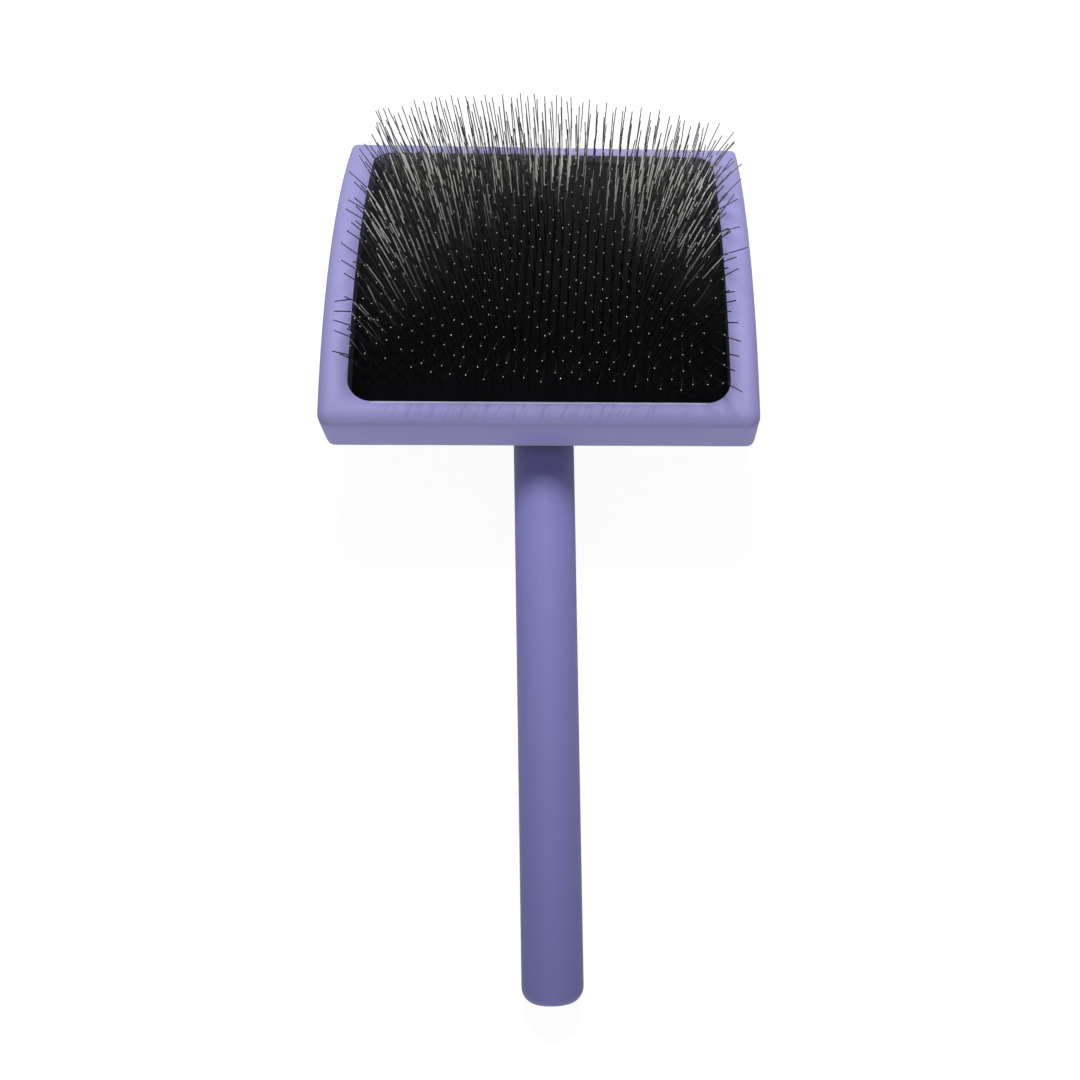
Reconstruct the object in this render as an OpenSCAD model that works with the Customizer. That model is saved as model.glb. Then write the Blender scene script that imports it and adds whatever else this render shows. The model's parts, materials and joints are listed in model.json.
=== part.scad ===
/* [Head] */
// Width of the wooden head, left to right
head_w = 145; // [125:1:165]
// Length of the head, measured along its curved top face
head_len = 140; // [125:1:155]
// Radius of the curved top face
head_r = 206; // [195:1:260]
// Thickness of the wood
head_t = 22.5; // [20:0.5:26]
// Rounding of the four upright corners
head_corner_r = 3; // [3:0.5:8]
// Rounding of the top and bottom edges
head_edge_r = 2; // [1:0.25:3]

/* [Recess] */
// Rim left standing beside the recess
rim_side = 9.8; // [7:0.2:14]
// Rim left standing at the near and far ends
rim_end = 7.4; // [5:0.2:12]
// Depth of the recess under the top face
recess_depth = 11; // [10.5:0.25:11.5]
// Rounding of the recess corners
recess_corner_r = 8; // [4:0.5:14]

/* [Pad] */
// Clearance between the pad and the recess wall
pad_clear = 0.3; // [0.1:0.05:0.8]
// Thickness of the rubber-faced sheet that carries the pins
sheet_t = 1.6; // [1.2:0.1:2]
// Height of the middle of the pad over the top face of the wood
pad_crown = 0.5; // [0:0.25:2.5]
// Radius of the pad across the brush
pad_side_r = 320; // [300:5:600]
// Radius of the pad from near end to far end
pad_end_r = 160; // [150:1:200]

/* [Pins] */
// Rows of staples
row_count = 42; // [30:1:42]
// Spacing of the rows along the pad
row_pitch = 2.73; // [2:0.01:2.75]
// Staples in one row, with two pins each
row_staples = 10; // [6:1:10]
// Spacing of the pins in a row
pin_pitch = 5.7; // [4.5:0.1:5.8]
// Diameter of the wire
wire_d = 0.4; // [0.3:0.02:0.5]
// Length of a pin from the sheet to its knee
lower_len = 13.4; // [8:0.2:18]
// Length of a pin from its knee to its tip
upper_len = 14; // [8:0.2:18]
// Bend of the knee towards the handle
knee_angle = 31; // [0:1:40]
// Bending radius of the wire, on its centre line
wire_bend_r = 0.8; // [0.6:0.05:1]

/* [Handle] */
// Diameter of the round handle
handle_d = 21; // [18:0.5:24]
// Length of the handle beyond the near edge of the head
handle_reach = 190.5; // [120:0.5:220]
// Length of handle let into the back of the head
handle_lap = 28; // [24:0.5:30]
// Slope of the handle below the chord of the head
handle_angle = 26; // [22:0.5:30]
// Rounding of the handle's ends
handle_end_r = 6; // [2:0.5:8]
// Gap between the handle and the near back edge of the head
handle_gap = 0.6; // [0.4:0.1:1.5]
// Distance from the near edge to the shoulder where the handle's lapped end is turned down
shoulder_out = 4; // [4:0.5:8]
// Depth of that shoulder
shoulder_step = 1; // [0.8:0.1:2]
// Glue gap round the handle's lapped end in its housing
glue_gap = 0.15; // [0.05:0.05:0.3]

/* [Screws] */
// Diameter of the screw heads
screw_head_d = 7; // [6:0.5:8]
// Diameter of the screw shanks
screw_shank_d = 4; // [3:0.25:4.5]
// Diameter of the screws' cores in the handle
screw_core_d = 2.8; // [2:0.1:2.9]
// Length of the screws, heads included
screw_len = 20; // [16:0.5:22]
// Distance of the first screw from the near edge, along the handle
screw_first = 14; // [12:0.5:15]
// Distance between the screws
screw_pitch = 9; // [8.5:0.5:10]
// Clearance round the shanks in the head
screw_clear = 0.2; // [0.1:0.05:0.3]
// Depth of the screw heads under the recess floor
screw_sink = 0.8; // [0.8:0.1:1.2]

/* [Hidden] */
fn_round = 64;
fn_wire = 16;
over = 1;
// Extra radius of a rounding cutter, so that it crosses the faces it rounds into
graze = 0.04;
head_a = head_len / 2 / head_r * 180 / PI;
recess_a = head_a - rim_end / head_r * 180 / PI;
recess_half_w = head_w / 2 - rim_side;
recess_half_l = to_hundredth(head_r * sin(recess_a));
floor_r = head_r - recess_depth;
back_r = head_r - head_t;
edge_bevel = head_edge_r * 0.55;
row_step = row_pitch / pad_end_r * 180 / PI;
last_row_a = (row_count - 1) / 2 * row_step;

// Wire: straight stretches between the bends, each cut back by what the bends take
knee_back = wire_bend_r * tan(knee_angle / 2);
crown_z = -sheet_t - wire_d / 2;
crown_w = pin_pitch - 2 * wire_bend_r;
leg_h = lower_len - crown_z - wire_bend_r - knee_back;
tip_h = upper_len - knee_back;
leg_splay = asin(pin_pitch / 2 / pad_side_r);

function to_hundredth(x) = round(x * 100) / 100;

// Points in the head's side view are [y, z], with the origin at the middle of its top face
function on_arc(r, a) = [r * sin(a), r * cos(a) - head_r];
back_edge_a = head_a - asin(head_edge_r / (back_r + head_edge_r));
top_edge_a = head_a - asin(head_edge_r / (head_r - head_edge_r));

far_back_edge = on_arc(back_r + head_edge_r, back_edge_a);
near_back_edge = on_arc(back_r + head_edge_r, -back_edge_a);
far_top_edge = on_arc(head_r - head_edge_r, top_edge_a);

// Handle: its axis runs just clear of the near back edge
handle_r = handle_d / 2;
handle_dir = [-cos(handle_angle), -sin(handle_angle)];
handle_down = [sin(handle_angle), -cos(handle_angle)];
handle_origin = near_back_edge + handle_down * (handle_r + head_edge_r + handle_gap);
end_centre = handle_origin + handle_dir * (handle_reach - handle_end_r);
end_low = end_centre + handle_down * (handle_r - handle_end_r);
end_high = end_centre - handle_down * (handle_r - handle_end_r);

// Rest: the brush lies on the far back edge of its head and the end of its handle
span = far_back_edge - end_low;
rest_tilt = atan2(span[1], span[0]) - asin((head_edge_r - handle_end_r) / norm(span));
function tilted(p) = [
    p[0] * cos(rest_tilt) + p[1] * sin(rest_tilt),
    p[1] * cos(rest_tilt) - p[0] * sin(rest_tilt)
];
function pin_tip(a) =
    let (r = pad_end_r + lower_len + upper_len * cos(knee_angle), back = upper_len * sin(knee_angle))
    [r * sin(a) - back * cos(a), r * cos(a) + back * sin(a) + pad_crown - pad_end_r];
lift = head_edge_r - tilted(far_back_edge)[1];
far_y = max(tilted(far_top_edge)[0] + head_edge_r, tilted(pin_tip(last_row_a))[0] + wire_d / 2);
near_y = min(tilted(end_low)[0], tilted(end_high)[0]) - handle_end_r;
mid_y = (far_y + near_y) / 2;

row_names = [for (i = [1 : row_count]) str("pin_row_", i < 10 ? "0" : "", i)];

// Takes a piece from the head's own frame to the way the brush lies at rest
module at_rest() {
    translate([0, -mid_y, lift]) rotate([-rest_tilt, 0, 0]) children();
}

// Turns a piece about the centre of the head's curve
module along_arc(a) {
    translate([0, 0, -head_r]) rotate([-a, 0, 0]) children();
}

// Turns a profile of [radius, x] about an axis along X, to half_a each side of straight up
module swept(half_a) {
    rotate([90, 0, 90]) rotate([0, 0, 90 - half_a])
        rotate_extrude(angle = 2 * half_a, $fn = fn_round * 4) children();
}

// Draws a side view of [y, z] out along X
module extruded(width) {
    rotate([90, 0, 90]) linear_extrude(height = width, center = true) children();
}

// Bar of wood curved like part of a drum, with square edges
module curved_bar(half_a) {
    side_y = 2 * head_r * sin(half_a);
    side_z = 2 * head_r * cos(half_a);
    translate([0, 0, -head_r]) extruded(head_w) intersection() {
        difference() {
            circle(r = head_r, $fn = fn_round * 4);
            circle(r = back_r, $fn = fn_round * 4);
        }
        polygon([[0, 0], [side_y, side_z], [-side_y, side_z]]);
    }
}

// Profile that rounds an edge, with the edge's corner at the origin and the wood towards -X and -Y
module edge_cutter(r) {
    difference() {
        translate([-r, -r]) square(r + over);
        translate([-r, -r]) circle(r = r + graze, $fn = fn_round);
    }
}

// Takes the wood off the rounded edges along both sides, top and back
module side_edges() {
    for (side = [0, 1]) mirror([side, 0, 0]) translate([0, 0, -head_r]) swept(head_a + 3) {
        translate([head_r, head_w / 2]) edge_cutter(head_edge_r);
        translate([back_r, head_w / 2]) mirror([1, 0]) edge_cutter(head_edge_r);
    }
}

// Takes the wood off beyond one end, and off its rounded edges
module end_cut() {
    extruded(head_w + 2 * over) {
        translate([0, back_r - over]) square([head_t, head_t + 2 * over]);
        translate([0, head_r]) edge_cutter(head_edge_r);
        translate([0, back_r]) mirror([0, 1]) edge_cutter(head_edge_r);
    }
}

// Takes the wood off an upright corner, leaving it rounded with bevelled rims
module corner_cut() {
    r = head_corner_r + graze;
    edge = r - edge_bevel;
    difference() {
        translate([-head_corner_r, -head_corner_r, back_r - over])
            cube([head_corner_r + over, head_corner_r + over, head_t + 2 * over]);
        translate([-head_corner_r, -head_corner_r, 0]) rotate_extrude($fn = fn_round) polygon([
            [0, back_r - over], [edge - over, back_r - over], [r, back_r + edge_bevel],
            [r, head_r - edge_bevel], [edge - over, head_r + over], [0, head_r + over]
        ]);
    }
}

module head_blank() {
    difference() {
        curved_bar(head_a + 2);
        side_edges();
        for (end = [0, 1]) mirror([0, end, 0]) along_arc(head_a) {
            end_cut();
            for (side = [0, 1]) mirror([side, 0, 0]) translate([head_w / 2, 0, 0]) corner_cut();
        }
    }
}

// Everything inside the recess's outline, moved in by inset, from under its floor to over the top face
module well(inset = 0) {
    w = recess_half_w - inset;
    l = recess_half_l - inset;
    translate([-w, -l, -head_t * 1.5]) linear_extrude(height = head_t * 2)
        rounded_rect(2 * w, 2 * l, recess_corner_r - inset);
}

module rounded_rect(w, l, r) {
    translate([r, 0]) square([w - 2 * r, l]);
    translate([0, r]) square([w, l - 2 * r]);
    for (x = [r, w - r], y = [r, l - r]) translate([x, y]) circle(r = r, $fn = fn_round);
}

// Everything under the recess floor
module under_floor() {
    translate([0, 0, -head_r]) rotate([0, 90, 0])
        cylinder(r = floor_r, h = 2 * head_w, center = true, $fn = fn_round * 4);
}

// Places a piece on the handle's axis, z along it and zero beside the near edge of the head
module on_handle() {
    translate([0, handle_origin[0], handle_origin[1]]) rotate([90 + handle_angle, 0, 0]) children();
}

// Handle with its lapped end turned down, or the housing for it with a gap all round
module turned_handle(gap = 0) {
    rotate_extrude($fn = fn_round) difference() {
        intersection() {
            translate([-handle_r, -handle_lap - gap])
                rounded_rect(2 * handle_r, handle_lap + gap + handle_reach, handle_end_r);
            translate([0, -handle_lap - over]) square([handle_d, handle_lap + handle_reach + 2 * over]);
        }
        translate([handle_r - shoulder_step + gap, -handle_lap - over])
            square([handle_r, over + handle_lap + shoulder_out]);
    }
}

// Height of the recess floor over the handle's axis, at a place along the axis
function floor_over(z) =
    let (p = handle_origin + handle_dir * z + [0, head_r], rise = -(p * handle_down))
    sqrt(rise * rise + floor_r * floor_r - p * p) - rise;

screw_places = [-screw_first, -screw_first - screw_pitch];

// Repeats a piece at each screw, z up out of the recess floor and zero at the top of the screw head
module at_screws() {
    for (z = screw_places) {
        on_handle() translate([0, 0, z]) rotate([90, 0, 0]) rotate([0, 0, 180])
            translate([0, 0, floor_over(z) - screw_sink]) children();
    }
}

// Countersunk wood screw, or the hole for it with clearance all round
module screw(clear = 0) {
    cone_h = (screw_head_d - screw_shank_d) / 2;
    shank_h = screw_len / 2;
    tip_h = screw_core_d / 2;
    rotate_extrude($fn = fn_round) polygon([
        [0, 0], [screw_head_d / 2 + clear, 0], [screw_shank_d / 2 + clear, -cone_h],
        [screw_shank_d / 2 + clear, -shank_h], [screw_core_d / 2 + clear, -shank_h - tip_h / 2],
        [screw_core_d / 2 + clear, tip_h - screw_len], [0, -screw_len]
    ]);
}

// Hole in the head for a screw, open to the recess
module screw_hole() {
    screw(screw_clear);
    translate([0, 0, -over / 2])
        cylinder(d = screw_head_d + 2 * screw_clear, h = screw_sink + over, $fn = fn_round);
}

// Shell between two drops under the pad's bulging face, turned about an axis along X
module pad_shell(drop, thick) {
    translate([0, 0, pad_crown - pad_end_r]) swept(head_a * head_r / pad_end_r) intersection() {
        translate([pad_end_r - pad_side_r, 0]) difference() {
            circle(r = pad_side_r - drop, $fn = fn_round * 8);
            circle(r = pad_side_r - drop - thick, $fn = fn_round * 8);
        }
        translate([pad_end_r / 2, -recess_half_w - over])
            square([pad_end_r, 2 * recess_half_w + 2 * over]);
    }
}

// Staples of one row stand on the sheet with their crowns along X behind it, each in its own frame
module at_staples(i) {
    for (j = [0 : row_staples - 1]) {
        x = (2 * j + 1 - row_staples + (i % 2) / 2 - 0.25) * pin_pitch;
        translate([x, 0, pad_end_r - pad_side_r + sqrt(pad_side_r * pad_side_r - x * x)])
            rotate([0, asin(x / pad_side_r), 0]) children();
    }
}

// Both legs of each staple, from the centre of the bend between crown and leg
module at_legs(i) {
    at_staples(i) for (side = [0, 1])
        mirror([side, 0, 0]) translate([crown_w / 2, 0, crown_z + wire_bend_r]) children();
}

// Centre of a leg's knee, from the centre of the bend below it
module at_knee() {
    rotate([0, leg_splay, 0]) translate([wire_bend_r, -wire_bend_r, leg_h]) children();
}

module wire(length) {
    cylinder(d = wire_d, h = length, $fn = fn_wire);
}

module wire_bend(angle) {
    rotate_extrude(angle = angle, $fn = fn_wire * 4)
        translate([wire_bend_r, 0]) circle(d = wire_d, $fn = fn_wire);
}

// Row of staples over the bulge of the sheet, every leg kneed towards the handle
module pin_row(i) {
    row_a = (row_count + 1 - 2 * i) / 2 * row_step;
    color("#c9cacd") at_rest() translate([0, 0, pad_crown - pad_end_r]) rotate([row_a, 0, 0]) {
        at_staples(i) translate([-crown_w / 2, 0, crown_z]) rotate([0, 90, 0]) wire(crown_w);
        at_legs(i) rotate([90, 0, 0]) rotate([0, 0, -90]) wire_bend(90 - leg_splay);
        at_legs(i) rotate([0, leg_splay, 0]) translate([wire_bend_r, 0, 0]) wire(leg_h);
        at_legs(i) at_knee() rotate([90, 0, 90]) wire_bend(knee_angle);
        at_legs(i) at_knee() rotate([knee_angle, 0, 0]) translate([0, wire_bend_r, 0]) wire(tip_h);
    }
}

module head_block() {
    color("#8f8ac6") at_rest() difference() {
        head_blank();
        difference() {
            well();
            under_floor();
        }
        on_handle() turned_handle(glue_gap);
        at_screws() screw_hole();
    }
}

module handle() {
    color("#716ba8") at_rest() difference() {
        on_handle() turned_handle();
        at_screws() screw();
    }
}

module handle_screws() {
    color("#b5a36a") at_rest() at_screws() screw();
}

module foam_cushion() {
    color("#3b3b40") at_rest() difference() {
        intersection() {
            well(pad_clear);
            pad_shell(sheet_t + wire_d, pad_side_r / 4);
        }
        under_floor();
    }
}

module pin_sheet() {
    color("#1f1f24") at_rest() intersection() {
        well(pad_clear);
        pad_shell(0, sheet_t);
    }
}

head_block();
handle();
handle_screws();
foam_cushion();
pin_sheet();
for (i = [1 : row_count]) pin_row(i);
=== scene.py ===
import json
import math
import random

import bpy
import numpy as np
from mathutils import Matrix, Vector, noise


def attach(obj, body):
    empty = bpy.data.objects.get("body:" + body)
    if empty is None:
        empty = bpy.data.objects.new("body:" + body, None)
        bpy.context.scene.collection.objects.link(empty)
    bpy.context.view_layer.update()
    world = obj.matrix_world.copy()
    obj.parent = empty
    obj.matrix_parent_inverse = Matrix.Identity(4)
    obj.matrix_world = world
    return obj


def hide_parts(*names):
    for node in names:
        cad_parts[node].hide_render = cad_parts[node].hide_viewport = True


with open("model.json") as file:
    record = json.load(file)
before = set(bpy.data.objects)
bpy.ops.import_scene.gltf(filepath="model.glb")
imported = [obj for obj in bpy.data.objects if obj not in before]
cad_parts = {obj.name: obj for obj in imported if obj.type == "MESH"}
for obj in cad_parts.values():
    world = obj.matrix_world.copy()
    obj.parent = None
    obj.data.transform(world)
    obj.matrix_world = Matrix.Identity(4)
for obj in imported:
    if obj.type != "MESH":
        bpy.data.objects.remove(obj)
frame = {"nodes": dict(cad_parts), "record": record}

random.seed(7)
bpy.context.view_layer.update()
scene = bpy.context.scene
scene.view_settings.view_transform = "Standard"

mm = 0.001

# How the head lies: its curve's centre, and how far its near side is tipped up
lie = {"centre": Vector((0, 27.487, -142.546)) * mm, "tip": math.radians(19.959), "topR": 206 * mm}

# Camera

cameraSet = {
    "place": (0.01459, -0.12395, 0.46203),
    "turn": (11.122, -3.052, -0.882),
    "lens": 43.04,
    "shift": (-0.1091, 0.1016),
}

cameraData = bpy.data.cameras.new("camera")
cameraData.lens = cameraSet["lens"]
cameraData.sensor_width = 36
cameraData.shift_x, cameraData.shift_y = cameraSet["shift"]
cameraData.clip_start = 0.01
camera = bpy.data.objects.new("camera", cameraData)
camera.location = cameraSet["place"]
camera.rotation_euler = [math.radians(turn) for turn in cameraSet["turn"]]
scene.collection.objects.link(camera)
scene.camera = camera


# Shader building

class Tap:
    # One output socket, which takes part in sums
    def __init__(self, surface, socket):
        self.surface = surface
        self.socket = socket

    def maths(self, operation, first, second=None):
        node = self.surface.add("ShaderNodeMath", {"operation": operation}, {0: first, 1: second})
        return node[0]

    def __add__(self, other):
        return self.maths("ADD", self, other)

    def __radd__(self, other):
        return self.maths("ADD", other, self)

    def __sub__(self, other):
        return self.maths("SUBTRACT", self, other)

    def __rsub__(self, other):
        return self.maths("SUBTRACT", other, self)

    def __mul__(self, other):
        return self.maths("MULTIPLY", self, other)

    def __truediv__(self, other):
        return self.maths("DIVIDE", self, other)

    def __pow__(self, other):
        return self.maths("POWER", self, other)

    def size(self):
        return self.maths("ABSOLUTE", self)

    def top(self, other):
        return self.maths("MAXIMUM", self, other)

    def low(self, other):
        return self.maths("MINIMUM", self, other)


class Node:
    # A node whose outputs are read by name or number
    def __init__(self, surface, node):
        self.surface = surface
        self.node = node

    def __getitem__(self, key):
        return Tap(self.surface, self.node.outputs[key])


class Surface:
    # A material under construction
    def __init__(self, name):
        self.material = bpy.data.materials.new(name)
        self.material.use_nodes = True
        self.tree = self.material.node_tree
        self.tree.nodes.clear()

    def add(self, kind, settings=None, sockets=None):
        node = self.tree.nodes.new(kind)
        for key, value in (settings or {}).items():
            if key == "stops":
                fillRamp(node.color_ramp, value)
            else:
                setattr(node, key, value)
        for key, value in (sockets or {}).items():
            if isinstance(value, Tap):
                self.tree.links.new(value.socket, node.inputs[key])
            elif value is not None:
                node.inputs[key].default_value = value
        return Node(self, node)

    def cloud(self, place, scale, detail, roughness=0.5):
        sockets = {"Vector": place, "Scale": scale, "Detail": detail, "Roughness": roughness}
        return self.add("ShaderNodeTexNoise", {}, sockets)[0]

    def relief(self, height, strength, distance, normal=None):
        sockets = {"Height": height, "Strength": strength, "Distance": distance, "Normal": normal}
        return self.add("ShaderNodeBump", {}, sockets)["Normal"]

    def ramp(self, share, *stops):
        return self.add("ShaderNodeValToRGB", {"stops": stops}, {"Fac": share})["Color"]

    def mixed(self, share, first, second):
        second = (*second, 1) if isinstance(second, tuple) else second
        return self.add("ShaderNodeMix", {"data_type": "RGBA"}, {"Factor": share, 6: first, 7: second})[2]

    def finish(self, shader):
        self.add("ShaderNodeOutputMaterial", {}, {"Surface": shader})
        return self.material

    def coat(self, tone, roughness, **others):
        names = {"specular": "Specular IOR Level", "metallic": "Metallic", "normal": "Normal"}
        sockets = {"Base Color": tone, "Roughness": roughness}
        sockets.update({names[key]: value for key, value in others.items()})
        return self.finish(self.add("ShaderNodeBsdfPrincipled", {}, sockets)["BSDF"])


def fillRamp(ramp, stops):
    while len(ramp.elements) > 1:
        ramp.elements.remove(ramp.elements[-1])
    for number, (place, colour) in enumerate(stops):
        element = ramp.elements[0] if number == 0 else ramp.elements.new(place)
        element.position = place
        element.color = (*colour, 1) if isinstance(colour, tuple) else (colour, colour, colour, 1)


def fromScreen(red, green, blue):
    # A screen colour from 0 to 255, as the shaders take it
    shares = (red / 255, green / 255, blue / 255)
    return tuple(share / 12.92 if share <= 0.0404 else ((share + 0.055) / 1.055) ** 2.4 for share in shares)


# Painted wood: a matt lavender coat that lets the grain show as faint ridges, with painted shade inside the
# recess and towards the handle's end, and a painted highlight along the window's near edge

paint = {
    "head": fromScreen(147, 143, 197),
    "handle": fromScreen(133, 131, 193),
    # painted shade at the handle's end
    "worn": fromScreen(107, 105, 163),
    # painted shade inside the recess: the lavender walls as in deep shadow
    "recess": fromScreen(13, 11, 25),
    "rub": fromScreen(176, 173, 212),
    # painted highlight along the window's near edge
    "line": fromScreen(180, 176, 210),
    "mark": fromScreen(116, 110, 164),
    "mottle": 0.05,
    "streak": 0.06,
    "grainDepth": 0.00006,
    "edge": 0.0018,
    "roughness": 0.6,
}
# Where the painted shade inside the recess lies
recess = {"halfW": 62.9 * mm, "halfL": 61.9 * mm, "bare": 0.5 * mm, "fade": 0.5 * mm}


def headPlace(s, place):
    # Across and along the head, and depth below the curve of its top
    x, y, z = (s.add("ShaderNodeSeparateXYZ", {}, {"Vector": place})[axis] for axis in "XYZ")
    y = y - lie["centre"].y
    z = z - lie["centre"].z
    along = y * math.cos(lie["tip"]) - z * math.sin(lie["tip"])
    return x, along, lie["topR"] - (y ** 2 + z ** 2) ** 0.5


def recessShadeMask(s, place):
    # Painted shade: 1 on the recess walls and floor, painted near black as if in deep shadow, 0 on the
    # outside of the head
    x, along, depth = headPlace(s, place)
    deep = ((depth - recess["bare"]) / recess["fade"]).top(0).low(1)
    across = ((recess["halfW"] - x.size()) * 1e5).top(0).low(1)
    return deep * across * ((recess["halfL"] - along.size()) * 1e5).top(0).low(1)


marks = {
    "slant": 0.5,
    "fine": 640,
    "long": 90,
    "level": 0.5,
    "soft": 6,
    "middle": -3 * mm,
    "half": 52 * mm,
    "fade": 90,
    "from": -62.5 * mm,
    "deep": 1.2 * mm,
    "deepFade": 1500,
    "share": 0.5,
}


def rimMarks(s, place):
    # Darker slanted strokes across the middle of the near rim
    x, along, depth = headPlace(s, place)
    spot = s.add("ShaderNodeCombineXYZ", {}, {"X": (x - along * marks["slant"]) * marks["fine"],
                                              "Y": along * marks["long"]})["Vector"]
    strokes = s.cloud(spot, 1, 2)
    wide = ((marks["half"] - (x - marks["middle"]).size()) * marks["fade"]).top(0).low(1)
    rim = ((marks["from"] - along) * 1e4).top(0).low(1)
    face = ((marks["deep"] - depth) * marks["deepFade"]).top(0).low(1)
    return ((marks["level"] - strokes) * marks["soft"]).top(0).low(1) * wide * rim * face * marks["share"]


windowEdge = {"outer": -62.1 * mm, "inner": -61.6 * mm, "halfW": 54.5 * mm}


def windowHighlight(s, place):
    # A painted highlight: a thin lighter line along the near side of the window, where its rounded edge
    # catches the light
    x, along, _ = headPlace(s, place)
    inner = ((windowEdge["inner"] - along) * 1e5).top(0).low(1)
    outer = ((along - windowEdge["outer"]) * 1e5).top(0).low(1)
    return inner * outer * ((windowEdge["halfW"] - x.size()) * 1e4).top(0).low(1)


# Painted shade: the handle is painted darker towards its end, as if the light fell off there
handleShade = {"from": 10 * mm, "over": 170 * mm, "share": 0.8}


def towardsEnd(s, place):
    # 0 where the handle leaves the head and 1 at its end
    y = s.add("ShaderNodeSeparateXYZ", {}, {"Vector": place})["Y"]
    return ((handleShade["from"] - y) / handleShade["over"]).top(0).low(1)


def paintedWood(name, colour, grain, hollow=False):
    # grain is how much the pattern is drawn out along each axis
    s = Surface(name)
    place = s.add("ShaderNodeTexCoord")["Object"]
    stretched = s.add("ShaderNodeMapping", {}, {"Vector": place, "Scale": grain})["Vector"]
    fibres = s.cloud(stretched, 260, 6, 0.62)
    mottle = s.cloud(place, 34, 4, 0.55)
    specks = s.cloud(place, 900, 2)
    shade = 1 + (mottle - 0.5) * (paint["mottle"] * 2) + (fibres - 0.5) * (paint["streak"] * 2)
    lit = s.add("ShaderNodeVectorMath", {"operation": "SCALE"}, {0: colour, "Scale": shade})["Vector"]
    tone = s.mixed((specks - 0.66).top(0) * 1.5, lit, paint["rub"])
    if hollow:
        tone = s.mixed(rimMarks(s, place), tone, paint["mark"])
        tone = s.mixed(windowHighlight(s, place), tone, paint["line"])
        tone = s.mixed(recessShadeMask(s, place), tone, paint["recess"])
    else:
        # painted shade: the handle darkens towards its end
        tone = s.mixed(towardsEnd(s, place) * handleShade["share"], tone, paint["worn"])
    soft = s.add("ShaderNodeBevel", {"samples": 4}, {"Radius": paint["edge"]})["Normal"]
    bump = s.relief(fibres * 0.8 + specks * 0.35, 0.5, paint["grainDepth"], soft)
    return s.coat(tone, paint["roughness"] + (fibres - 0.5) * 0.16, specular=0.3, normal=bump)


# Black rubber face of the sheet, with a fine pebble, and a painted sheen that makes it lighter towards the
# far end, broken up by a noise

rubberSet = {
    "near": fromScreen(2, 2, 4),
    # the far tone is a painted sheen
    "far": fromScreen(30, 30, 31),
    "from": 60 * mm,
    "to": 160 * mm,
    "pebble": 0.06 * mm,
}


def blackRubber():
    s = Surface("blackRubber")
    place = s.add("ShaderNodeTexCoord")["Object"]
    pebble = s.add("ShaderNodeTexVoronoi", {"feature": "SMOOTH_F1"}, {"Vector": place, "Scale": 1900})[0]
    dustAndSheen = s.cloud(place, 120, 5, 0.6)
    y = s.add("ShaderNodeSeparateXYZ", {}, {"Vector": place})["Y"]
    # painted sheen: the rubber is painted lighter towards the far end, where the front lamp glances off it
    far = ((y - rubberSet["from"]) / (rubberSet["to"] - rubberSet["from"])).top(0).low(1)
    share = (far * (0.7 + dustAndSheen * 0.6)).low(1)
    tone = s.mixed(share, (*rubberSet["near"], 1), rubberSet["far"])
    bump = s.relief(pebble, 0.4, rubberSet["pebble"])
    return s.coat(tone, 0.85 + (dustAndSheen - 0.5) * 0.2, specular=0.06, normal=bump)


# Drawn steel wire: polished upper legs, and lower legs with painted highlights, painted bright towards the
# far end and the sides and dark in the middle near the handle, a random share of them painted dimmer; the cut
# tips carry a painted glint

wireTone = {
    # painted highlight on the lower legs
    "bright": fromScreen(252, 250, 246),
    # painted dark where the lower legs catch no light
    "dull": fromScreen(60, 58, 56),
    "polished": fromScreen(198, 195, 189),
    # painted glint on the cut tips
    "cut": fromScreen(180, 178, 173),
    "slant": 0.89,
    "skew": 0.14,
    "from": 10 * mm,
    "to": 42 * mm,
    "satin": 0.9,
    # how bright the dimmed legs' painted highlight is
    "greasy": 0.2,
    "greasyShare": 0.4,
    "uneven": 0.32,
}


def lowerSteel(name, shine):
    # shine is how bright the painted highlight on the leg is at its fullest
    s = Surface(name)
    place = s.add("ShaderNodeTexCoord")["Object"]
    drawn = s.cloud(place, 700, 3, 0.6)
    x, along, _ = headPlace(s, place)
    # painted highlight: the leg is painted brighter and less metallic towards the far end and the sides, dark
    # in the middle near the handle
    reach = along + x.size() * wireTone["slant"] - x * wireTone["skew"]
    paintedGleam = ((reach - wireTone["from"]) / (wireTone["to"] - wireTone["from"])).top(0).low(1) * shine
    tone = s.mixed(paintedGleam, (*wireTone["dull"], 1), wireTone["bright"])
    return s.coat(tone, 0.3 + drawn * 0.1, metallic=1 - paintedGleam * wireTone["satin"])


def upperSteel():
    s = Surface("upperSteel")
    drawn = s.cloud(s.add("ShaderNodeTexCoord")["Object"], 700, 3, 0.6)
    return s.coat((*wireTone["polished"], 1), 0.14 + drawn * 0.1, metallic=1.0)


# The cut tips of the wires, with a painted glint: a light grey, barely metallic, so they show as bright dots
# from any side
def cutSteelGlint():
    s = Surface("cutSteelGlint")
    scored = s.cloud(s.add("ShaderNodeTexCoord")["Object"], 3000, 2)
    return s.coat((*wireTone["cut"], 1), 0.3 + scored * 0.2, metallic=0.15)


def softFoam():
    s = Surface("softFoam")
    place = s.add("ShaderNodeTexCoord")["Object"]
    cells = s.add("ShaderNodeTexVoronoi", {"feature": "DISTANCE_TO_EDGE"}, {"Vector": place, "Scale": 900})[0]
    tone = s.ramp(cells, (0.0, fromScreen(92, 92, 96)), (0.3, fromScreen(44, 44, 47)))
    return s.coat(tone, 0.95, normal=s.relief(cells, 0.8, 0.3 * mm))


def yellowZinc():
    s = Surface("yellowZinc")
    stain = s.cloud(s.add("ShaderNodeTexCoord")["Object"], 400, 4)
    tone = s.ramp(stain, (0.3, fromScreen(196, 168, 96)), (0.7, fromScreen(216, 204, 168)))
    return s.coat(tone, 0.28 + stain * 0.2, metallic=1.0)


def cover(piece, material):
    piece.data.materials.clear()
    piece.data.materials.append(material)


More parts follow.
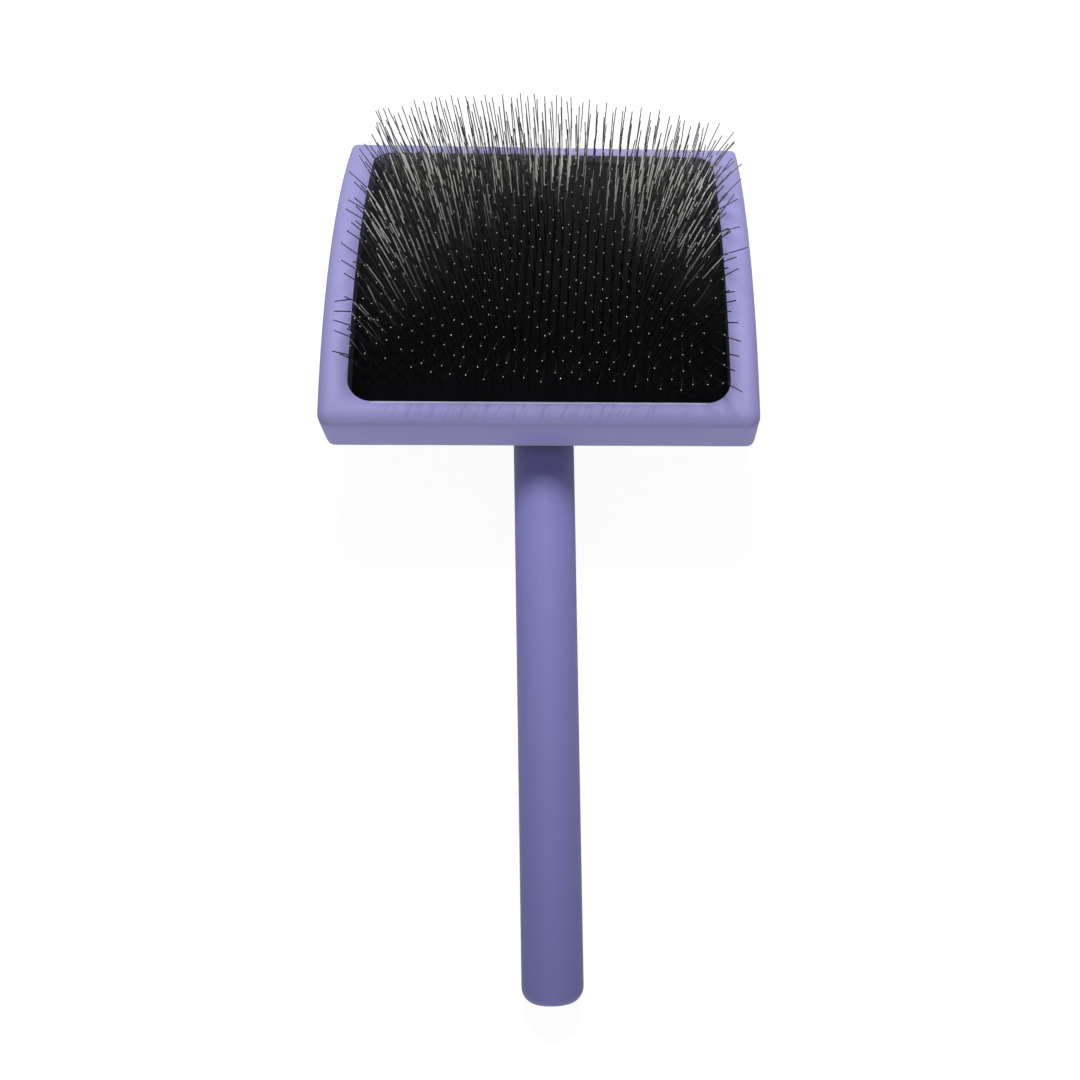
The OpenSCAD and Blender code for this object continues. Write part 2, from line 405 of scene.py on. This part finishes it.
nodes = frame["nodes"]
print("paints done")


# The pad: a sheet that bulges both ways over a foam block

pad = {
    "halfW": 62.4 * mm,
    "halfL": 61.34 * mm,
    "cornerR": 7.7 * mm,
    "crown": 0.5 * mm,
    "sideR": 320 * mm,
    "endR": 160 * mm,
    "sheet": 1.6 * mm,
    "floorR": 195 * mm,
    "cells": 150,
    "turn": math.radians(-2.5),
    "dimple": 0.22 * mm,
    "dimpleR": 0.55 * mm,
    "thinEdge": 1.6 * mm,
    "thinner": 0.5 * mm,
}

# From the head's own frame, with the middle of its top face at the origin, to where it lies
headToPlace = (Matrix.Translation(lie["centre"]) @ Matrix.Rotation(-lie["tip"], 4, "X")
               @ Matrix.Translation((0, 0, lie["topR"])))


def padHeight(x, y, drop=0.0):
    side = pad["sideR"] - drop
    reach = pad["endR"] - pad["sideR"] + math.sqrt(side * side - x * x)
    return pad["crown"] - pad["endR"] + math.sqrt(reach * reach - y * y)


def floorHeight(y):
    return math.sqrt(pad["floorR"] ** 2 - y * y) - lie["topR"]


def wirePlace(row, across):
    # Frame of a point on the sheet, square to its bulge: rows are counted from the near end
    angle = (row - (wires["rows"] + 1) / 2) * wires["rowPitch"] / pad["endR"]
    rise = pad["endR"] - pad["sideR"] + math.sqrt(pad["sideR"] ** 2 - across * across)
    return (Matrix.Rotation(pad["turn"], 4, "Z") @ Matrix.Translation((0, 0, pad["crown"] - pad["endR"]))
            @ Matrix.Rotation(-angle, 4, "X") @ Matrix.Translation((across, 0, rise))
            @ Matrix.Rotation(math.asin(across / pad["sideR"]), 4, "Y"))


# Wire staples: rows, pitches and bends as the sheet carries them

wires = {
    "rows": 42,
    "rowPitch": 2.73 * mm,
    "staples": 10,
    "pitch": 5.7 * mm,
    "d": 0.4 * mm,
    "lower": 13.4 * mm,
    "upper": 14.0 * mm,
    "knee": math.radians(31),
    "bendR": 0.8 * mm,
    "sides": 6,
    "lean": math.radians(1.1),
    "footH": 0.2 * mm,
    "burr": 0.08 * mm,
    "tip": 0.7,
}

# How use has combed the pins, in radians, and the spans of rows and of places across where each lean sets in.
# Lower legs lean outwards near the sides, and upper legs stand up more
combed = {
    "left": 0.14,
    "right": 0.25,
    "inward": 0.17,
    "nearer": 0.1,
    "corner": 0.22,
    "drift": 0.025,
    "far": 0.13,
    "edge": 0.035,
    "tuft": 26 * mm,
    "tuftRows": 9,
    "sides": (26 * mm, 54 * mm),
    "looseSides": (40 * mm, 54 * mm),
    "farRows": (33, 40),
    "farLeft": (-50 * mm, -38 * mm),
    "farRight": (5 * mm, 20 * mm),
    "cornerRows": (3, 8),
    "cornerLeft": (30 * mm, 46 * mm),
    "inner": (0, 30 * mm),
    "rim": (46 * mm, 54 * mm),
    "innerRows": (14, 30),
    "lastRight": (48 * mm, 56 * mm),
    "nearRows": (2, 7),
    "nearAcross": (-45 * mm, 0),
}


def stapleX(row, number):
    return (2 * number + 1 - wires["staples"] + (row % 2) / 2 - 0.25) * wires["pitch"]


def deselectAll():
    if bpy.context.object and bpy.context.object.mode != "OBJECT":
        bpy.ops.object.mode_set(mode="OBJECT")
    bpy.ops.object.select_all(action="DESELECT")


def finishPiece(piece, name, material, slot, *stoodFor):
    piece.name = name
    piece.data.name = name
    cover(piece, material)
    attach(piece, "root")
    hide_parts(*stoodFor)
    return piece


# The head's worn edges: a rounder envelope keeps only what it shares with the cut block

headSet = {"halfW": 72.55 * mm, "halfL": 70.05 * mm, "top": 0.05 * mm, "thick": 22.6 * mm, "cuts": 47,
           "lowR": 2.8 * mm, "nearR": 5 * mm, "farR": 2.4 * mm}


def makeHead():
    deselectAll()
    bpy.ops.mesh.primitive_cube_add(size=2)
    head = bpy.context.object
    bpy.ops.object.mode_set(mode="EDIT")
    bpy.ops.mesh.select_all(action="SELECT")
    bpy.ops.mesh.subdivide(number_cuts=headSet["cuts"])
    bpy.ops.object.mode_set(mode="OBJECT")
    half = Vector((headSet["halfW"], headSet["halfL"], headSet["thick"] / 2))
    for vertex in head.data.vertices:
        # lines crowd towards the edges, where the block is rounded
        place = Vector(math.sin(part * math.pi / 2) * size for part, size in zip(vertex.co, half))
        topR = headSet["nearR"] + (headSet["farR"] - headSet["nearR"]) * (0.5 + place.y / half.y / 2)
        r = headSet["lowR"] + (topR - headSet["lowR"]) * (0.5 + place.z / headSet["thick"])
        core = Vector(min(max(part, r - size), size - r) for part, size in zip(place, half))
        x, arc, z = core + (place - core).normalized() * r if (place - core).length > 0 else place
        z += headSet["top"] - headSet["thick"] / 2
        angle = arc / lie["topR"]
        reach = lie["topR"] + z
        vertex.co = (x, reach * math.sin(angle), reach * math.cos(angle) - lie["topR"])
    head.data.transform(headToPlace)
    shared = head.modifiers.new("shared", "BOOLEAN")
    shared.operation = "INTERSECT"
    shared.solver = "EXACT"
    shared.object = nodes["head_block"]
    bpy.ops.object.modifier_apply(modifier="shared")
    bpy.ops.object.shade_smooth_by_angle(angle=math.radians(32))
    wood = paintedWood("headPaint", paint["head"], (0.12, 1, 1), hollow=True)
    finishPiece(head, "headBlock", wood, "head_wood", "head_block")
    print("head faces", len(head.data.polygons))


# The handle drifts a little to the right along its length, as it was glued in

handleSet = {
    "endR": 6 * mm,
    "lap": 28 * mm,
    "out": 4 * mm,
    "under": 3 * mm,
    "shoulder": 1 * mm,
    "drift": 0.0145,
    "sides": 96,
}


def makeHandle():
    grip = frame["record"]["mounts"][0]
    along = Vector(grip["axis"])
    radius = grip["dims"]["r_mm"] * mm
    length = grip["dims"]["length_mm"] * mm
    more = handleSet["out"] + handleSet["under"]
    full = length + more + handleSet["endR"]
    deselectAll()
    bpy.ops.mesh.primitive_cylinder_add(vertices=handleSet["sides"], radius=radius, depth=full,
                                        location=(0, 0, (handleSet["endR"] - more) / 2))
    bar = bpy.context.object
    bpy.ops.object.transform_apply(location=True, rotation=True, scale=True)
    pickCap(bar, 1)
    bpy.ops.mesh.bevel(offset=handleSet["endR"], segments=10, affect="EDGES")
    pickCap(bar, -1)
    bpy.ops.mesh.inset(thickness=handleSet["shoulder"])
    lapped = handleSet["lap"] - handleSet["under"]
    bpy.ops.mesh.extrude_region_move(TRANSFORM_OT_translate={"value": (0, 0, -lapped)})
    bpy.ops.object.mode_set(mode="OBJECT")
    for vertex in bar.data.vertices:
        vertex.co.x += handleSet["drift"] * max(0, vertex.co.z + length / 2)
    turn = Matrix([[1, 0, 0], [0, along.z, along.y], [0, -along.y, along.z]])
    bar.data.transform(Matrix.Translation(Vector(grip["pos_m"])) @ turn.to_4x4())
    bpy.ops.object.shade_smooth_by_angle(angle=math.radians(30))
    wood = paintedWood("handlePaint", paint["handle"], (1, 0.09, 1))
    finishPiece(bar, "handleBar", wood, "handle_wood", "handle")


# Two screws, countersunk in the floor of the recess under the foam, hold the handle's lapped end

screwSet = {
    "head": 7 * mm,
    "shank": 4 * mm,
    "core": 2.8 * mm,
    "length": 20 * mm,
    "taper": 0.7 * mm,
    "tip": 1.4 * mm,
    "sink": 0.8 * mm,
    "places": (14 * mm, 23 * mm),
    "sides": 32,
}


def makeScrew(top, up):
    # Drawn down from the rim of its head
    cone = (screwSet["head"] - screwSet["shank"]) / 2
    upper = screwSet["length"] / 2
    lower = screwSet["length"] - upper - screwSet["taper"] - screwSet["tip"]
    steps = ((cone, screwSet["shank"] / screwSet["head"]), (upper - cone, 1),
             (screwSet["taper"], screwSet["core"] / screwSet["shank"]), (lower, 1), (screwSet["tip"], 0.15))
    deselectAll()
    bpy.ops.mesh.primitive_circle_add(vertices=screwSet["sides"], radius=screwSet["head"] / 2,
                                      fill_type="NGON")
    screw = bpy.context.object
    bpy.ops.object.mode_set(mode="EDIT")
    bpy.ops.mesh.select_mode(type="VERT")
    bpy.ops.mesh.select_all(action="SELECT")
    for drop, narrower in steps:
        bpy.ops.mesh.extrude_region_move(TRANSFORM_OT_translate={"value": (0, 0, -drop)})
        bpy.ops.transform.resize(value=(narrower, narrower, 1))
    bpy.ops.mesh.select_all(action="SELECT")
    bpy.ops.mesh.normals_make_consistent(inside=False)
    bpy.ops.object.mode_set(mode="OBJECT")
    screw.data.transform(Matrix.Translation(top) @ up.to_track_quat("Z", "Y").to_matrix().to_4x4())
    return screw


def makeScrews():
    grip = frame["record"]["mounts"][0]
    along = Vector(grip["axis"])
    up = Vector((0, along.z, -along.y))
    start = Vector(grip["pos_m"]) - along * (grip["dims"]["length_mm"] * mm / 2 + handleSet["out"])
    screws = []
    for place in screwSet["places"]:
        spot = start - along * place - lie["centre"]
        rise = spot.dot(up)
        reach = math.sqrt(rise ** 2 + pad["floorR"] ** 2 - spot.length_squared) - rise - screwSet["sink"]
        screws.append(makeScrew(lie["centre"] + spot + up * reach, up))
    deselectAll()
    for screw in screws:
        screw.select_set(True)
    bpy.ops.object.join()
    bpy.ops.object.shade_smooth_by_angle(angle=math.radians(30))
    finishPiece(bpy.context.object, "floorScrews", yellowZinc(), "screw_steel", "handle_screws")


def pickCap(piece, end):
    # Selects the flat face at one end of a bar along Z and opens edit mode
    bpy.ops.object.mode_set(mode="EDIT")
    bpy.ops.mesh.select_all(action="DESELECT")
    bpy.ops.object.mode_set(mode="OBJECT")
    cap = max(piece.data.polygons, key=lambda face: (face.normal.z * end > 0.9) * 10 + face.center.z * end)
    cap.select = True
    bpy.ops.object.mode_set(mode="EDIT")
    bpy.ops.mesh.select_mode(type="FACE")


def pastOutline(x, y):
    # How far a place lies outside the pad's rounded outline, negative inside it
    r = pad["cornerR"]
    dx = abs(x) - (pad["halfW"] - r)
    dy = abs(y) - (pad["halfL"] - r)
    return math.hypot(max(dx, 0), max(dy, 0)) + min(max(dx, dy), 0) - r


def squareToPad(x, y):
    # Takes a place in a unit square to the rounded outline, ring by ring
    scale = max(abs(x), abs(y))
    if scale == 0:
        return 0.0, 0.0
    dirX, dirY = x / scale, y / scale
    # walk out along the square's ray until the outline is met
    low, high = 0.5, 1.2
    for _ in range(24):
        far = (low + high) / 2
        if pastOutline(dirX * pad["halfW"] * far, dirY * pad["halfL"] * far) > 0:
            high = far
        else:
            low = far
    return dirX * pad["halfW"] * far * scale, dirY * pad["halfL"] * far * scale


def wireFeet():
    feet = []
    for row in range(1, wires["rows"] + 1):
        for number in range(wires["staples"]):
            for side in (-1, 1):
                foot = wirePlace(row, stapleX(row, number)) @ Vector((side * wires["pitch"] / 2, 0, 0))
                feet.append((foot.x, foot.y))
    return np.array(feet)


def makeSheet():
    deselectAll()
    bpy.ops.mesh.primitive_grid_add(x_subdivisions=pad["cells"], y_subdivisions=pad["cells"], size=2)
    sheet = bpy.context.object
    feet = wireFeet()
    for vertex in sheet.data.vertices:
        x, y = squareToPad(vertex.co.x, vertex.co.y)
        gap = np.min(np.hypot(feet[:, 0] - x, feet[:, 1] - y))
        dimple = pad["dimple"] * math.exp(-(gap / pad["dimpleR"]) ** 2)
        edge = max(0.0, 1 + pastOutline(x, y) / pad["thinEdge"])
        vertex.co = (x, y, padHeight(x, y) - dimple - pad["thinner"] * edge * edge)
    thick = sheet.modifiers.new("thick", "SOLIDIFY")
    thick.thickness = pad["sheet"] - pad["thinner"]
    thick.offset = -1
    bpy.ops.object.modifier_apply(modifier="thick")
    sheet.data.transform(headToPlace)
    bpy.ops.object.shade_smooth_by_angle(angle=math.radians(50))
    finishPiece(sheet, "rubberSheet", blackRubber(), "pad_rubber", "pin_sheet")


# The foam stays a hair clear of the sheet, the wires' crowns, the walls and the floor of the recess

foam = {"cells": 28, "share": 0.998, "below": 0.05 * mm, "above": 0.1 * mm, "soft": 0.6 * mm, "fill": 0.9}


def makeCushion():
    deselectAll()
    bpy.ops.mesh.primitive_grid_add(x_subdivisions=foam["cells"], y_subdivisions=foam["cells"], size=2)
    cushion = bpy.context.object
    for vertex in cushion.data.vertices:
        x, y = (part * foam["share"] for part in squareToPad(vertex.co.x, vertex.co.y))
        vertex.co = (x, y, padHeight(x, y, pad["sheet"] + wires["d"]) - foam["below"])
    bpy.ops.object.mode_set(mode="EDIT")
    bpy.ops.mesh.select_all(action="SELECT")
    bpy.ops.mesh.extrude_region_move(TRANSFORM_OT_translate={"value": (0, 0, -1 * mm)})
    bpy.ops.object.mode_set(mode="OBJECT")
    for vertex in cushion.data.vertices:
        if vertex.select:
            vertex.co.z = floorHeight(vertex.co.y) + foam["above"]
    bpy.ops.object.mode_set(mode="EDIT")
    bpy.ops.mesh.select_all(action="SELECT")
    bpy.ops.mesh.normals_make_consistent(inside=False)
    bpy.ops.object.mode_set(mode="OBJECT")
    soft = cushion.modifiers.new("soft", "BEVEL")
    soft.width = foam["soft"]
    soft.segments = 2
    soft.limit_method = "ANGLE"
    soft.angle_limit = math.radians(50)
    bpy.ops.object.modifier_apply(modifier="soft")
    cushion.data.transform(headToPlace)
    bpy.ops.object.shade_smooth_by_angle(angle=math.radians(40))
    finishPiece(cushion, "foamBlock", softFoam(), "foam", "foam_cushion")


# One staple's right half is drawn out from a ring of points, then mirrored

steelSlots = {"lower": 0, "upper": 1, "cut": 2, "greasy": 3}


def makeStaple():
    deselectAll()
    half = wires["pitch"] / 2
    crownZ = -pad["sheet"] - wires["d"] / 2
    splay = math.asin(half / pad["sideR"])
    bend = wires["bendR"]
    kneeBack = bend * math.tan(wires["knee"] / 2)
    lower = wires["lower"] - crownZ - bend - kneeBack
    upper = wires["upper"] - kneeBack
    bpy.ops.mesh.primitive_circle_add(vertices=wires["sides"], radius=wires["d"] / 2,
                                      location=(0, 0, crownZ), rotation=(0, math.pi / 2, 0))
    staple = bpy.context.object
    bpy.ops.object.transform_apply(location=True, rotation=True, scale=True)
    bpy.ops.object.mode_set(mode="EDIT")
    bpy.ops.mesh.select_mode(type="VERT")
    bpy.ops.mesh.select_all(action="SELECT")
    bpy.ops.mesh.extrude_region_move(TRANSFORM_OT_translate={"value": (half - bend, 0, 0)})
    bpy.ops.mesh.spin(steps=3, angle=math.pi / 2 - splay, center=(half - bend, 0, crownZ + bend),
                      axis=(0, 1, 0))
    up = Vector((math.sin(splay), 0, math.cos(splay)))
    bpy.ops.mesh.extrude_region_move(TRANSFORM_OT_translate={"value": up * lower})
    corner = Vector((half - bend + bend * math.cos(splay), 0, crownZ + bend - bend * math.sin(splay)))
    kneeLow = corner + up * lower
    aside = Vector((math.cos(splay), 0, -math.sin(splay)))
    bpy.ops.mesh.spin(steps=3, angle=-wires["knee"], center=kneeLow + Vector((0, -bend, 0)), axis=aside)
    on = Matrix.Rotation(wires["knee"], 3, aside) @ up
    bpy.ops.mesh.extrude_region_move(TRANSFORM_OT_translate={"value": on * (upper - wires["burr"])})
    bpy.ops.mesh.extrude_region_move(TRANSFORM_OT_translate={"value": on * wires["burr"]})
    bpy.ops.transform.resize(value=(wires["tip"],) * 3)
    bpy.ops.mesh.edge_face_add()
    bpy.ops.object.mode_set(mode="OBJECT")
    for face in staple.data.polygons:
        part = "upper" if face.center.z > kneeLow.z else "lower"
        face.material_index = steelSlots["cut" if face.select else part]
    other = staple.modifiers.new("other", "MIRROR")
    other.use_axis = (True, False, False)
    other.merge_threshold = 0.00001
    bpy.ops.object.modifier_apply(modifier="other")
    bpy.ops.object.mode_set(mode="EDIT")
    bpy.ops.mesh.select_all(action="SELECT")
    bpy.ops.mesh.normals_make_consistent(inside=False)
    bpy.ops.object.mode_set(mode="OBJECT")
    staple["knee"] = list(kneeLow + Vector((0, 0, bend * math.sin(wires["knee"] / 2))))
    staple["foot"] = half
    return staple


def within(value, low, high):
    # 0 below low, 1 above high and even between them
    share = min(max((value - low) / (high - low), 0), 1)
    return share * share * (3 - 2 * share)


def lowerLean(row, across):
    # How a pin leans at its foot: out to its side, and towards the handle
    side = "right" if across > 0 else "left"
    fan = combed[side] * within(abs(across), *combed["sides"])
    spot = Vector((across / combed["tuft"], row / combed["tuftRows"], 0))
    out = math.copysign(fan, across) + combed["drift"] * noise.noise(spot)
    down = combed["drift"] * noise.noise(spot + Vector((0, 0, 40)))
    farPatch = within(across, *combed["farLeft"]) * (1 - within(across, *combed["farRight"]))
    corner = within(-across, *combed["cornerLeft"]) * (1 - within(row, *combed["cornerRows"]))
    return out, down - combed["far"] * within(row, *combed["farRows"]) * farPatch - combed["corner"] * corner


def upperLean(row, across):
    # How it leans again at its knee: back in, but for the outermost on the right, and down in the near rows
    side = "right" if across > 0 else "left"
    fan = combed[side] * within(abs(across), *combed["sides"])
    if across > 0:
        fan *= 1 - within(across, *combed["lastRight"])
    inner = within(abs(across), *combed["inner"]) * (1 - within(abs(across), *combed["rim"]))
    back = fan + combed["inward"] * inner * (1 - within(row, *combed["innerRows"]))
    near = 1.5 * within(across, *combed["nearAcross"]) - 0.5
    return -math.copysign(back, across), combed["nearer"] * near * (1 - within(row, *combed["nearRows"]))


def strayed(lean, across):
    loose = combed["edge"] * within(abs(across), *combed["looseSides"])
    return tuple(part + random.gauss(0, wires["lean"] + loose) for part in lean)


def bendLeg(points, chosen, pivot, lean):
    # Turns the chosen points about a foot or a knee
    out, down = lean
    turned = np.array(Matrix.Rotation(down, 3, "X") @ Matrix.Rotation(out, 3, "Y"))
    points[chosen] = (points[chosen] - pivot) @ turned.T + pivot


def makeRows(staple):
    lower = lowerSteel("lowerSteel", 1)
    # the dimmed legs get a weaker painted highlight
    others = (upperSteel(), cutSteelGlint(), lowerSteel("dimmedSteel", wireTone["greasy"]))
    shape = np.array([vertex.co for vertex in staple.data.vertices])
    faces = [list(face.vertices) for face in staple.data.polygons]
    cuts = np.array([face.material_index for face in staple.data.polygons])
    rights = np.array([face.center.x > 0 for face in staple.data.polygons])
    knee, foot = list(staple["knee"]), staple["foot"]
    for row in range(1, wires["rows"] + 1):
        points, corners, slots = [], [], []
        for number in range(wires["staples"]):
            mine, mySlots = shape.copy(), cuts.copy()
            for side in (-1, 1):
                leg = shape[:, 0] * side > 0
                across = stapleX(row, number) + side * foot
                upperOnes = leg & (shape[:, 2] > knee[2])
                lean = strayed(upperLean(row, across), across)
                bendLeg(mine, upperOnes, (side * knee[0], knee[1], knee[2]), lean)
                lowerOnes = leg & (shape[:, 2] > wires["footH"])
                bendLeg(mine, lowerOnes, (side * foot, 0, 0), strayed(lowerLean(row, across), across))
                # painted highlight: one leg shines where the next one does not, the dimmed legs painted
                # darker
                uneven = math.copysign(wireTone["uneven"], across) * (row * 2 / wires["rows"] - 1)
                if random.random() < wireTone["greasyShare"] - uneven:
                    mySlots[(cuts == steelSlots["lower"]) & (rights == (side > 0))] = steelSlots["greasy"]
            place = np.array(headToPlace @ wirePlace(row, stapleX(row, number)))
            corners += [[index + len(points) for index in face] for face in faces]
            points += (mine @ place[:3, :3].T + place[:3, 3]).tolist()
            slots += mySlots.tolist()
        mesh = bpy.data.meshes.new("row")
        mesh.from_pydata(points, [], corners)
        mesh.shade_smooth()
        piece = bpy.data.objects.new("row", mesh)
        scene.collection.objects.link(piece)
        name = "{:02d}".format(row)
        finishPiece(piece, "wireRow" + name, lower, "pin_wire", "pin_row_" + name)
        for steel in others:
            mesh.materials.append(steel)
        mesh.polygons.foreach_set("material_index", slots)
        # the long faces alone set the normals, so each leg gleams as a straight wire
        deselectAll()
        bpy.context.view_layer.objects.active = piece
        even = piece.modifiers.new("even", "WEIGHTED_NORMAL")
        even.weight = 100
        bpy.ops.object.modifier_apply(modifier="even")
    bpy.data.objects.remove(staple)


makeHead()
makeHandle()
makeScrews()
makeCushion()
makeSheet()
print("head, handle and pad done")
makeRows(makeStaple())
print("wires done")


# Floor, lamps and surroundings

light = {
    "key": {"place": (0.0, 0.36, 0.62), "aim": (0, 0.04, 0.04), "size": 0.22, "power": 4.35},
    "front": {"place": (0.0, -1.5, 0.3), "aim": (0, 0.08, 0.05), "size": 0.8, "power": 9.5},
    "world": 0.09,
    "floor": 1.1,
    "cover": 0.86,
}


def makeLamp(name, facts):
    lamp = bpy.data.lights.new(name, "AREA")
    lamp.shape = "DISK"
    lamp.size = facts["size"]
    lamp.energy = facts["power"]
    holder = bpy.data.objects.new(name, lamp)
    holder.location = facts["place"]
    holder.rotation_euler = (Vector(facts["aim"]) - holder.location).to_track_quat("-Z", "Y").to_euler()
    scene.collection.objects.link(holder)


def paleFloor():
    s = Surface("paleFloor")
    path = s.add("ShaderNodeLightPath")
    matt = s.add("ShaderNodeBsdfDiffuse", {}, {"Color": (0.86, 0.86, 0.87, 1)})["BSDF"]
    white = s.add("ShaderNodeEmission", {}, {"Color": (1, 1, 1, 1), "Strength": light["floor"]})["Emission"]
    shown = path["Is Camera Ray"].top(path["Is Glossy Ray"]) * light["cover"]
    return s.finish(s.add("ShaderNodeMixShader", {}, {0: shown, 1: matt, 2: white})[0])


def paleWorld():
    # White to the camera and in reflections, and a dim fill to everything else
    world = bpy.data.worlds.new("world")
    world.use_nodes = True
    tree = world.node_tree
    path = tree.nodes.new("ShaderNodeLightPath")
    shown = tree.nodes.new("ShaderNodeMath")
    shown.operation = "MAXIMUM"
    tree.links.new(path.outputs["Is Camera Ray"], shown.inputs[0])
    tree.links.new(path.outputs["Is Glossy Ray"], shown.inputs[1])
    strength = tree.nodes.new("ShaderNodeMapRange")
    strength.inputs["To Min"].default_value = light["world"]
    strength.inputs["To Max"].default_value = 1.0
    tree.links.new(shown.outputs[0], strength.inputs["Value"])
    back = tree.nodes["Background"]
    back.inputs["Color"].default_value = (1, 1, 1, 1)
    tree.links.new(strength.outputs["Result"], back.inputs["Strength"])
    return world


def makeStage():
    deselectAll()
    bpy.ops.mesh.primitive_plane_add(size=6, location=(0, 0, -0.0001))
    floor = bpy.context.object
    floor.name = "floor"
    cover(floor, paleFloor())
    scene.world = paleWorld()
    makeLamp("keyLamp", light["key"])
    makeLamp("frontLamp", light["front"])


makeStage()
print("stage done")
